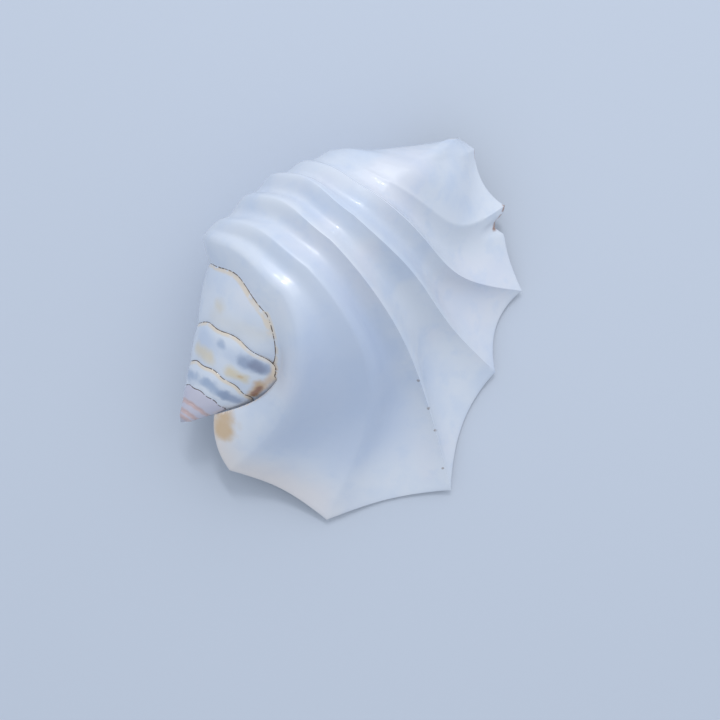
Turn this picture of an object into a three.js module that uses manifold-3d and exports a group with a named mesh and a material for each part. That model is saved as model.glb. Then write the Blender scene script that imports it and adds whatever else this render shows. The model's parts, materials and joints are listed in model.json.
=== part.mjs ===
// A spider conch shell with its lip points ground short and its outside polished white.
// It lies on its opening. Millimetres, +Z up, +Y from the spire to the canal, +X to the flared lip.
// The last whorl and the lip are one lofted wall and the spire is one spiral cone, joined in one solid.
import * as THREE from "three";
import { mergeVertices } from "three/addons/utils/BufferGeometryUtils.js";
import Module from "manifold-3d";

// How the shell grows: each whorl is this much larger than the one before, in every direction.
const WHORL_STEP = 1.58;
const GROWTH = Math.log(WHORL_STEP) / 360; // per degree of coil

// The spiral lines that shape the last whorl, from the seam against the spire to the canal's edge.
// Seven of them are ribs. For each: the centre of its coil (x, z), then y and radius at the coil's left,
// y and radius over its top, the shares by which y and radius rise before the top, how much of the growth
// along y its inner turns keep, how flat its belly is pressed (1 round), how soft its crest is (0 sharp,
// 1 round), and the points that it passes on the flared lip, the last of which is its tip.
const LINES = [
  { name: "seam", centre: [0, 32], left: [50.4, 29.3], top: [53.6, 30.6], rise: [0.075, 0.05],
    inner: 1, belly: 0.876, soft: 1, lip: [[9.5, 47.8, 57.6], [16.2, 38, 46.8], [15.3, 24.5, 37], [7.5, 10, 30]] },
  { name: "shoulder", centre: [0, 32], left: [55.4, 38.5], top: [60.2, 36.5], rise: [0.05, 0],
    inner: 1, belly: 0.862, soft: 0.7, lip: [[19, 46.5, 59.5], [28, 23, 37], [25.5, -3.5, 18]] },
  { name: "rib_1", centre: [0, 32], left: [63, 39.5], top: [72.5, 39], rise: [0.034, 0],
    inner: 1, belly: 0.884, soft: 0.6, lip: [[28, 66.5, 57], [49, 50, 29], [67, 5.5, 3.8]] },
  { name: "rib_2", centre: [0, 32], left: [75.5, 38], top: [84.5, 39], rise: [0.038, 0],
    inner: 1, belly: 0.915, soft: 0.1, lip: [[28, 81, 56], [57, 70.5, 26], [96, 47.4, 3.8]] },
  { name: "rib_3", centre: [0, 31], left: [89, 36], top: [96, 37.5], rise: [0.033, 0],
    inner: 1, belly: 0.955, soft: 0, lip: [[24, 97, 55], [52, 94, 23], [77.7, 94.1, 3.8]] },
  { name: "rib_4", centre: [0, 30], left: [100, 31.5], top: [107, 32.5], rise: [0.013, 0],
    inner: 0.9, belly: 0.93, soft: 0, lip: [[20, 109, 49], [42, 111, 23], [64, 125.3, 3.8]] },
  { name: "rib_5", centre: [0.5, 28], left: [113, 27.8], top: [115.3, 24.6], rise: [0, 0],
    inner: 0.7, belly: 0.876, soft: 0.1, lip: [[15.5, 119, 42.5], [29.5, 125.5, 25], [36, 144.3, 12]] },
  { name: "rib_6", centre: [1, 27], left: [119.2, 18.3], top: [129, 17.2], rise: [0, 0],
    inner: 0.45, belly: 0.876, soft: 0.8, lip: [[8, 137.5, 33.5], [11.5, 146, 22.5], [12.7, 152.1, 14]] },
  { name: "canal", centre: [3, 18], left: [138, 5.5], top: [146, 6], rise: [0, 0],
    inner: 0.45, belly: 0.876, soft: 1, lip: [[5.2, 148.8, 21.5], [5.4, 150.3, 17.5], [4.2, 151, 13.5]] },
];

// Between two lines: how deep the hollow is (below 0 it swells), and how far the lip is drawn back from the
// chord between the tips.
const GAPS = [
  { width: 0.5, hollow: 0, drawn: -2 },
  { width: 1, hollow: 2.6, drawn: 2.2 },
  { width: 1, hollow: 4.2, drawn: 1.6 },
  { width: 1, hollow: 5, drawn: 3.7 },
  { width: 1, hollow: 4.2, drawn: 4.3 },
  { width: 1, hollow: 3.2, drawn: 2 },
  { width: 1, hollow: -1.5, drawn: 4 },
  { width: 0.8, hollow: 0, drawn: 0 },
];
const LINE_KNOTS = GAPS.reduce((knots, gap) => [...knots, knots.at(-1) + gap.width], [0]);

// Places round the coil are in degrees of growth: 0 over the top, -90 at the left, -180 on the belly.
const LIP_END = 120; // the flared lip carries on from the top as far as this
const LIP_ROOT = [-60, -30, 0]; // places on the coil that the curves of the lip start from
const TOP = { from: -120, reach: 120 }; // where the coil's shape turns to that over the top

// The hollows fade in over the top and get shallower at the lip's edge. Their deepest place lies nearer the
// next rib, and the inside of the wall has most of their depth.
const HOLLOW = { skew: 1.35, from: -120, reach: 110, inside: 0.85, round: { from: -60, reach: 90 },
  edge: { from: 70, reach: 50, share: 0.5 } };

// Shares of the lip over which its edge is drawn back and the bite before the canal is cut.
const DRAWN = { from: 0.45, reach: 0.55 };
const NOTCH = { gap: 5, at: 0.8, deep: 3.8, wide: 0.07, from: 0.8, reach: 0.2 };

const RISE = { at: -34, wide: 22 }; // where the lines swing out before the top
const INNER_TURN = { share: 0.86, from: -200, reach: 100 }; // the turn inside is a little slimmer
// Where the inside ends, by the seam and further on, and how much of that the coil's inner end follows.
const CAVITY_END = { near: 58, far: -80, from: 2.3, reach: 2.4, lean: 0.75 };
const WALL = { body: 2.8, edge: 1.9, tip: 4.2, canal: 0.4 }; // thickness, and its share at the canal's end
const SEAM_SUNK = 12; // how far the wall's end by the seam reaches under the spire

// The spire is a cone of whorls. `left` is the radius and y of its lowest seam at the shell's left,
// and the spiral carries on from there for `over` of a turn, under the last whorl, where it shrinks.
// Its seams are lifted over the top and a little wavy, and its nose is blunt.
const SPIRE = { turns: 5.5, over: 0.5, left: [29.8, 49.5], apex: [-0.4, 28], foot: 68, pressed: 0.94,
  bulge: 0.045, knobs: 9, knob: 0.012, lift: 0.1, wave: 0.014, nose: 2.2,
  shrink: { from: 0.2, reach: 0.3, share: 0.12 } };

const smooth = (x) => {
  const t = Math.min(Math.max(x, 0), 1);
  return t * t * (3 - 2 * t);
};
const mix = (a, b, t) => a + (b - a) * t;
const radians = (degrees) => (degrees * Math.PI) / 180;

// Slopes of the smooth curve through points that stand at the given knots.
function slopes(points, knots) {
  const n = points.length;
  const h = knots.slice(1).map((k, i) => k - knots[i]);
  const lower = [], diagonal = [], upper = [], right = [];
  const step = (i) => points[i + 1].clone().sub(points[i]).divideScalar(h[i]);
  for (let i = 0; i < n; i++) {
    const first = i === 0, last = i === n - 1;
    lower.push(first ? 0 : last ? 1 : h[i]);
    diagonal.push(first || last ? 2 : 2 * (h[i - 1] + h[i]));
    upper.push(last ? 0 : first ? 1 : h[i - 1]);
    if (first) right.push(step(0).multiplyScalar(3));
    else if (last) right.push(step(n - 2).multiplyScalar(3));
    else right.push(step(i - 1).multiplyScalar(3 * h[i]).addScaledVector(step(i), 3 * h[i - 1]));
  }
  for (let i = 1; i < n; i++) {
    const share = lower[i] / diagonal[i - 1];
    diagonal[i] -= share * upper[i - 1];
    right[i].addScaledVector(right[i - 1], -share);
  }
  const out = new Array(n);
  for (let i = n - 1; i >= 0; i--) {
    out[i] = right[i].clone();
    if (i < n - 1) out[i].addScaledVector(out[i + 1], -upper[i]);
    out[i].divideScalar(diagonal[i]);
  }
  return out;
}

// The smooth curve between two knots.
function between(p, q, mp, mq, h, f) {
  return p.clone().multiplyScalar(2 * f ** 3 - 3 * f ** 2 + 1)
    .addScaledVector(mp, h * (f ** 3 - 2 * f ** 2 + f))
    .addScaledVector(q, 3 * f ** 2 - 2 * f ** 3)
    .addScaledVector(mq, h * (f ** 3 - f ** 2));
}

// A point of one line on the coil.
function onCoil(line, degrees) {
  const [leftY, leftRadius] = line.left, [topY, topRadius] = line.top;
  const quarter = Math.exp(GROWTH * 90);
  const over = smooth((degrees - TOP.from) / TOP.reach);
  const grownR = Math.exp(GROWTH * (degrees + 90));
  const keep = degrees < -90 ? line.inner : 1;
  const grownY = Math.exp(GROWTH * keep * (degrees + 90));
  const slim = mix(1, INNER_TURN.share, smooth((INNER_TURN.from - degrees) / INNER_TURN.reach));
  const rise = Math.exp(-(((degrees - RISE.at) / RISE.wide) ** 2));
  const radius = leftRadius * grownR * slim * (1 + (topRadius / (leftRadius * quarter) - 1) * over)
    * (1 + line.rise[1] * rise);
  const y = leftY * grownY * (1 + (topY / (leftY * quarter) - 1) * over) * (1 + line.rise[0] * rise);
  const side = Math.sin(radians(degrees)) * radius;
  const up = Math.cos(radians(degrees)) * radius;
  return new THREE.Vector3(line.centre[0] + side, y, line.centre[1] + (up < 0 ? up * line.belly : up));
}

// Each line's route over the top and out to its tip, made once.
const ROUTES = LINES.map((line) => {
  const points = LIP_ROOT.map((d) => onCoil(line, d)).concat(line.lip.map((p) => new THREE.Vector3(...p)));
  const knots = [0];
  for (let i = 1; i < points.length; i++) knots.push(knots[i - 1] + points[i].distanceTo(points[i - 1]));
  const [start, end] = [knots[LIP_ROOT.length - 1], knots.at(-1)];
  return { line, points, knots, slopes: slopes(points, knots), start, end };
});

function onLine(route, degrees) {
  if (degrees < 0) return onCoil(route.line, degrees);
  const place = mix(route.start, route.end, Math.min(degrees / LIP_END, 1));
  let i = route.knots.findIndex((k) => k > place) - 1;
  if (i < 0) i = route.knots.length - 2;
  const h = route.knots[i + 1] - route.knots[i];
  const f = (place - route.knots[i]) / h;
  return between(route.points[i], route.points[i + 1], route.slopes[i], route.slopes[i + 1], h, f);
}

// The smooth surface through the lines, before the hollows between ribs are pressed in. `w` counts the lines.
function crestSurface(w, degrees) {
  const points = ROUTES.map((route) => onLine(route, degrees));
  const m = slopes(points, LINE_KNOTS);
  const i = Math.min(Math.floor(w), LINES.length - 2);
  const p = between(points[i], points[i + 1], m[i], m[i + 1], GAPS[i].width, w - i);
  const out = degrees / LIP_END;
  if (out <= DRAWN.from) return p;
  const { drawn, bite } = lipShift(w);
  return p.addScaledVector(drawn, smooth((out - DRAWN.from) / DRAWN.reach))
    .addScaledVector(bite, smooth((out - NOTCH.from) / NOTCH.reach));
}

// How far the lip's edge is moved from the smooth surface to its drawn-back outline, and into the notch.
const shifts = new Map();
function lipShift(w) {
  if (shifts.has(w)) return shifts.get(w);
  const tips = ROUTES.map((route) => route.points.at(-1));
  const m = slopes(tips, LINE_KNOTS);
  const i = Math.min(Math.floor(w), LINES.length - 2), f = w - i;
  const smoothEdge = between(tips[i], tips[i + 1], m[i], m[i + 1], GAPS[i].width, f);
  const chord = tips[i + 1].clone().sub(tips[i]);
  const inward = new THREE.Vector3(-chord.y, chord.x, 0).normalize();
  const edge = tips[i].clone().lerp(tips[i + 1], f).addScaledVector(inward, GAPS[i].drawn * 4 * f * (1 - f));
  const deep = i === NOTCH.gap ? NOTCH.deep * Math.exp(-(((f - NOTCH.at) / NOTCH.wide) ** 2)) : 0;
  shifts.set(w, { drawn: edge.sub(smoothEdge), bite: inward.multiplyScalar(deep) });
  return shifts.get(w);
}

// How deep the hollow between two ribs is at a place.
function hollow(w, degrees) {
  const i = Math.min(Math.floor(w), LINES.length - 2), f = w - i;
  const { skew, from, reach, round: rounded, edge } = HOLLOW;
  const skewed = f ** skew;
  const sharp = 4 * skewed * (1 - skewed);
  const round = (1 - Math.cos(2 * Math.PI * f)) / 2;
  const rounding = Math.max(mix(LINES[i].soft, LINES[i + 1].soft, f),
    1 - smooth((degrees - rounded.from) / rounded.reach));
  const along = smooth((degrees - from) / reach);
  const shallower = 1 - edge.share * smooth((degrees - edge.from) / edge.reach);
  return GAPS[i].hollow * along * shallower * mix(sharp, round, rounding);
}

function crestNormal(w, degrees) {
  const dw = 0.02, dq = 0.5;
  const w0 = Math.max(w - dw, 0), w1 = Math.min(w + dw, LINES.length - 1);
  const q1 = Math.min(degrees + dq, LIP_END);
  const a = crestSurface(w1, degrees).sub(crestSurface(w0, degrees));
  const b = crestSurface(w, q1).sub(crestSurface(w, q1 - 2 * dq));
  return b.cross(a).normalize();
}

function wallThickness(w, degrees) {
  const tip = Math.abs(Math.cos(Math.PI * w)) ** 8;
  const canal = mix(1, WALL.canal, smooth(w - LINES.length + 3));
  return canal * mix(WALL.body, mix(WALL.edge, WALL.tip, tip), smooth(degrees / LIP_END));
}

const outside = (w, degrees) => crestSurface(w, degrees)
  .addScaledVector(crestNormal(w, degrees), -hollow(w, degrees));
const inside = (w, degrees) => crestSurface(w, degrees)
  .addScaledVector(crestNormal(w, degrees), -HOLLOW.inside * hollow(w, degrees) - wallThickness(w, degrees));

// Places round one closed loop of the wall, in degrees: outside from the inner turn by the belly and the top
// to the lip, then inside from the lip back to where the cavity ends.
function placesRound(w) {
  const end = mix(CAVITY_END.near, CAVITY_END.far, smooth((w - CAVITY_END.from) / CAVITY_END.reach));
  const start = -360 + (end > 0 ? CAVITY_END.lean * end : end);
  const steps = (from, to, count) => Array.from({ length: count }, (_, i) => mix(from, to, i / count));
  const coil = [...steps(start, -180, COUNT.turn), ...steps(-180, 0, COUNT.back)];
  const outer = [...coil, ...steps(0, LIP_END, COUNT.lip), LIP_END];
  const inner = [...steps(LIP_END, end, COUNT.under), end];
  return { outer, inner };
}

function loop(w) {
  const { outer, inner } = placesRound(w);
  return [...outer.map((degrees) => outside(w, degrees)), ...inner.map((degrees) => inside(w, degrees))];
}

// Rings and places round each ring of the loft.
const PER_GAP = 6;
const COUNT = { turn: 14, back: 12, lip: 14, under: 16 };

function loftWall() {
  const rings = [];
  for (let k = 0; k <= PER_GAP * (LINES.length - 1); k++) rings.push(loop(k / PER_GAP));
  const around = rings[0].length;
  const corners = rings.flat();
  const faces = [];
  const at = (ring, i) => ring * around + (i % around);
  for (let ring = 0; ring < rings.length - 1; ring++) {
    for (let i = 0; i < around; i++) {
      faces.push([at(ring, i), at(ring, i + 1), at(ring + 1, i + 1)]);
      faces.push([at(ring, i), at(ring + 1, i + 1), at(ring + 1, i)]);
    }
  }
  closeEnd(corners, faces, 0, 0, true, -SEAM_SUNK);
  closeEnd(corners, faces, (rings.length - 1) * around, LINES.length - 1, false, 0);
  return { corners, faces };
}

// Closes one end of the loft: a fan over the middle of the coil, and a strip across the wall's thickness.
function closeEnd(corners, faces, first, w, turned, sunk) {
  const { outer, inner } = placesRound(w);
  const face = (a, b, c) => faces.push(turned ? [a, c, b] : [a, b, c]);
  const end = inner.at(-1);
  const beside = outer.findIndex((degrees) => degrees >= end);
  const outerEdge = outer.map((_, i) => first + i);
  const innerEdge = inner.map((_, i) => first + outer.length + inner.length - 1 - i);
  const ring = [...outerEdge.slice(0, beside + 1), innerEdge[0]];
  const middle = new THREE.Vector3();
  ring.forEach((i) => middle.addScaledVector(corners[i], 1 / ring.length));
  middle.y += sunk;
  fan(corners, faces, ring, middle, turned);
  let o = beside, n = 0;
  while (o < outer.length - 1 || n < inner.length - 1) {
    const outerShare = (o + 1 - beside) / (outer.length - 1 - beside);
    const innerShare = (n + 1) / (inner.length - 1);
    if (outerShare <= innerShare) {
      face(outerEdge[o], outerEdge[o + 1], innerEdge[n]);
      o += 1;
    } else {
      face(outerEdge[o], innerEdge[n + 1], innerEdge[n]);
      n += 1;
    }
  }
}

// A place on the spire: `turn` counts whorls along the spiral, 0 where the lowest seam passes the shell's
// left, and `across` runs from 0 to 1 between a whorl's two seams.
function onSpire(turn, across) {
  const grown = Math.exp(GROWTH * 360 * turn);
  const step = mix(1 / WHORL_STEP, 1, across);
  const full = Math.sqrt(Math.max(4 * across * (1 - across), 0));
  const ripple = Math.cos(2 * Math.PI * SPIRE.knobs * turn);
  const sunk = 1 - SPIRE.shrink.share * smooth((turn - SPIRE.shrink.from) / SPIRE.shrink.reach);
  const swell = SPIRE.bulge * full + SPIRE.knob * ripple * full * full;
  const radius = SPIRE.left[0] * grown * sunk * (step + swell);
  const angle = 2 * Math.PI * (turn - 0.25);
  const lifted = 1 + SPIRE.lift * Math.max(Math.cos(angle), 0) + SPIRE.wave * ripple;
  const cone = SPIRE.left[1] * grown * step * lifted;
  const share = Math.min(cone / SPIRE.left[1], 1);
  const y = cone - SPIRE.nose * (1 - share) ** 2;
  const axis = mix(SPIRE.apex[1], LINES[0].centre[1], share);
  return new THREE.Vector3(radius * Math.sin(angle), y, axis + SPIRE.pressed * radius * Math.cos(angle));
}

const SPIRE_COUNT = { perTurn: 32, across: 6 };

function spireCone() {
  const { perTurn, across } = SPIRE_COUNT;
  const steps = Math.round(SPIRE.turns * perTurn);
  const corners = [], faces = [], index = [];
  for (let s = 0; s <= steps; s++) {
    index.push([]);
    for (let k = 0; k <= across; k++) {
      const share = (1 - Math.cos((Math.PI * k) / across)) / 2;
      corners.push(onSpire(s / perTurn - SPIRE.turns + SPIRE.over, share));
      index[s].push(corners.length - 1);
    }
  }
  // a whorl's lower seam is the next whorl's upper seam
  for (let s = 0; s + perTurn <= steps; s++) index[s][across] = index[s + perTurn][0];
  for (let s = 0; s < steps; s++) {
    for (let k = 0; k < across; k++) {
      faces.push([index[s][k], index[s + 1][k + 1], index[s][k + 1]]);
      faces.push([index[s][k], index[s + 1][k], index[s + 1][k + 1]]);
    }
  }
  const firstTurn = index.slice(0, perTurn + 1).map((row) => row[0]);
  const lastTurn = index.slice(steps - perTurn).map((row) => row[across]);
  const apex = new THREE.Vector3(0, ...SPIRE.apex);
  const foot = new THREE.Vector3(0, SPIRE.foot, LINES[0].centre[1]);
  fan(corners, faces, [...firstTurn, ...index[0].slice(1, across).reverse()], apex, true);
  fan(corners, faces, [...lastTurn, ...index[steps].slice(1, across).reverse()], foot, false);
  return { corners, faces };
}

// Closes a ring of corners with a fan to one point.
function fan(corners, faces, ring, point, turned) {
  corners.push(point);
  const middle = corners.length - 1;
  ring.forEach((a, i) => {
    const b = ring[(i + 1) % ring.length];
    faces.push(turned ? [b, a, middle] : [a, b, middle]);
  });
}

const wasm = await Module();
wasm.setup();

function solidOf({ corners, faces }) {
  const geometry = new THREE.BufferGeometry().setFromPoints(corners);
  geometry.setIndex(faces.flat());
  const merged = mergeVertices(geometry, 1e-4);
  return new wasm.Manifold(new wasm.Mesh({
    numProp: 3,
    vertProperties: merged.attributes.position.array,
    triVerts: new Uint32Array(merged.index.array),
  }));
}

function geometryOf(solid) {
  const mesh = solid.getMesh();
  const geometry = new THREE.BufferGeometry();
  const position = new Float32Array(mesh.numVert * 3);
  for (let i = 0; i < mesh.numVert; i++) {
    position.set(mesh.vertProperties.subarray(i * mesh.numProp, i * mesh.numProp + 3), 3 * i);
  }
  geometry.setAttribute("position", new THREE.BufferAttribute(position, 3));
  geometry.setIndex(new THREE.BufferAttribute(mesh.triVerts, 1));
  geometry.computeVertexNormals();
  return geometry;
}

// Moves the shape so that the origin is under its middle, on the surface that it lies on.
function standOnMiddle(geometry) {
  geometry.computeBoundingBox();
  const { min, max } = geometry.boundingBox;
  geometry.translate(-(min.x + max.x) / 2, -(min.y + max.y) / 2, -min.z);
}

// Pockets sealed between the spire and the inner turn are filled: only the outer surface is kept.
const joined = solidOf(loftWall()).add(solidOf(spireCone()));
const shellSolid = joined.decompose().find((body) => body.volume() > 0);
const shellFinish = new THREE.MeshStandardMaterial({ color: 0xe9ebee, roughness: 0.28, metalness: 0 });
const shellShape = geometryOf(shellSolid);
standOnMiddle(shellShape);
const shell = new THREE.Mesh(shellShape, shellFinish);
shell.name = "shell";
const conch = new THREE.Group();
conch.add(shell);

export default conch;
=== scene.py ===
"""A spider conch shell, its lip points ground short and its back polished white, lying on its opening.

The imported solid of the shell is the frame. One finely modelled shell takes its place: the last whorl with
its ribs and flared lip, and the spire, joined in one closed mesh.
"""
import json
import logging
import math
from dataclasses import dataclass, field
from enum import Enum

import bpy
import numpy as np
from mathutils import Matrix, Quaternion, Vector
from mathutils.kdtree import KDTree

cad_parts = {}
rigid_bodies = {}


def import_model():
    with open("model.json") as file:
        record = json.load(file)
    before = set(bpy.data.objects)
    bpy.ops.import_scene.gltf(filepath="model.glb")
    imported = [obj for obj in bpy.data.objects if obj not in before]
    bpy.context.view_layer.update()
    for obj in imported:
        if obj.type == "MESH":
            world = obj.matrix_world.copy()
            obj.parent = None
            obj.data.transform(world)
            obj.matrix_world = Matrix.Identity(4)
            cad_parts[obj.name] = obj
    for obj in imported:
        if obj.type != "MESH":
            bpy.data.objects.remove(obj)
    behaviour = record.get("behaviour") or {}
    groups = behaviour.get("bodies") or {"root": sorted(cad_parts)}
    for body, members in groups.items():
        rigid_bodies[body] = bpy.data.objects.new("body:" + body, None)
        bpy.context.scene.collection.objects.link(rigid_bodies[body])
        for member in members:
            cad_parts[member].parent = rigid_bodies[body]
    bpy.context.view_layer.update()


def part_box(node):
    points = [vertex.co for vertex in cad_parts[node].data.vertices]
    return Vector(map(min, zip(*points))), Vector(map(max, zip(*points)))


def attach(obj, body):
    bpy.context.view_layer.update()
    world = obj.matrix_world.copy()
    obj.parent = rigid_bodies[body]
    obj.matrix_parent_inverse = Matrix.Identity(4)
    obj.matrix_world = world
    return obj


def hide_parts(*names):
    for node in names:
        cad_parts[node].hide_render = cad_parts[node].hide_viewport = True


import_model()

log = logging.getLogger("conch")
MM = 0.001


def smooth(x: np.ndarray | float) -> np.ndarray | float:
    """The smooth step from 0 to 1 as x goes from 0 to 1."""
    t = np.clip(x, 0.0, 1.0)
    return t * t * (3 - 2 * t)


def mix(a, b, t):
    """The value that lies the share t of the way from a to b."""
    return a + (b - a) * t


@dataclass(frozen=True)
class Fade:
    """A smooth change from 0 to 1, which starts at a place and takes a reach."""
    start: float
    reach: float

    def at(self, x: np.ndarray | float) -> np.ndarray | float:
        """How far the change has come at x."""
        return smooth((x - self.start) / self.reach)


def spline(knots: np.ndarray, places: np.ndarray) -> np.ndarray:
    """Weights of a smooth curve's points.

    Args:
        knots: where each point of the curve stands along it.
        places: where the curve is wanted.

    Returns:
        One row of weights for each place, one column for each point.
    """
    count, step = len(knots), np.diff(knots)
    left, right = np.zeros((count, count)), np.zeros((count, count))
    left[0, :2] = 2, 1
    left[-1, -2:] = 1, 2
    right[0, :2] = -3 / step[0], 3 / step[0]
    right[-1, -2:] = -3 / step[-1], 3 / step[-1]
    for i in range(1, count - 1):
        before, after = step[i - 1], step[i]
        left[i, i - 1:i + 2] = after, 2 * (before + after), before
        right[i, i - 1:i + 2] = -3 * after / before, 3 * (after / before - before / after), 3 * before / after
    slopes = np.linalg.solve(left, right)
    i = np.clip(np.searchsorted(knots, places, side="right") - 1, 0, count - 2)
    h, unit = step[i][:, None], np.eye(count)
    f = (places[:, None] - knots[i][:, None]) / h
    return (unit[i] * (2 * f**3 - 3 * f**2 + 1) + unit[i + 1] * (3 * f**2 - 2 * f**3)
            + slopes[i] * h * (f**3 - 2 * f**2 + f) + slopes[i + 1] * h * (f**3 - f**2))


@dataclass(frozen=True)
class Line:
    """A spiral line of the last whorl, in millimetres from the tip of the spire.

    It coils round `centre` (x, z). `left` and `top` are its y and radius at the coil's left and over its top,
    and `rise` the shares by which they rise before the top. `inner` is the share of its growth along y that
    its inner turns keep, `belly` how flat its belly is pressed, `soft` how round its crest is, and `lip` the
    points that it passes on the flared lip, the last of which is its tip.
    """
    name: str
    centre: tuple[float, float]
    left: tuple[float, float]
    top: tuple[float, float]
    rise: tuple[float, float]
    inner: float
    belly: float
    soft: float
    lip: tuple[tuple[float, float, float], ...]


@dataclass(frozen=True)
class Gap:
    """What lies between two lines: its width, how deep it is pressed in (below 0 it swells), how far its lip
    is drawn back, and its number of rings in the mesh."""
    width: float
    hollow: float
    drawn: float
    rings: int


LINES = (
    Line("seam", (0, 32), (50.4, 29.3), (53.6, 30.6), (0.075, 0.05), 1, 0.876, 1,
         ((9.5, 47.8, 57.6), (16.2, 38, 46.8), (15.3, 24.5, 37), (7.5, 10, 30))),
    Line("shoulder", (0, 32), (55.4, 38.5), (60.2, 36.5), (0.05, 0), 1, 0.862, 0.7,
         ((19, 46.5, 59.5), (28, 23, 37), (25.5, -3.5, 18))),
    Line("rib_1", (0, 32), (63, 39.5), (72.5, 39), (0.034, 0), 1, 0.884, 0.6,
         ((28, 66.5, 57), (49, 50, 29), (67, 5.5, 3.8))),
    Line("rib_2", (0, 32), (75.5, 38), (84.5, 39), (0.038, 0), 1, 0.915, 0.1,
         ((28, 81, 56), (57, 70.5, 26), (96, 47.4, 3.8))),
    Line("rib_3", (0, 31), (89, 36), (96, 37.5), (0.033, 0), 1, 0.955, 0,
         ((24, 97, 55), (52, 94, 23), (77.7, 94.1, 3.8))),
    Line("rib_4", (0, 30), (100, 31.5), (107, 32.5), (0.013, 0), 0.9, 0.93, 0,
         ((20, 109, 49), (42, 111, 23), (64, 125.3, 3.8))),
    Line("rib_5", (0.5, 28), (113, 27.8), (115.3, 24.6), (0, 0), 0.7, 0.876, 0.1,
         ((15.5, 119, 42.5), (29.5, 125.5, 25), (36, 144.3, 12))),
    Line("rib_6", (1, 27), (119.2, 18.3), (129, 17.2), (0, 0), 0.45, 0.876, 0.8,
         ((8, 137.5, 33.5), (11.5, 146, 22.5), (12.7, 152.1, 14))),
    Line("canal", (3, 18), (138, 5.5), (146, 6), (0, 0), 0.45, 0.876, 1,
         ((5.2, 148.8, 21.5), (5.4, 150.3, 17.5), (4.2, 151, 13.5))),
)
GAPS = (
    Gap(0.5, 0, -2, 14), Gap(1, 2.6, 2.2, 24), Gap(1, 4.2, 1.6, 28), Gap(1, 5, 3.7, 30),
    Gap(1, 4.2, 4.3, 28), Gap(1, 3.2, 2, 24), Gap(1, -1.5, 4, 22), Gap(0.8, 0, 0, 12),
)


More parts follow.
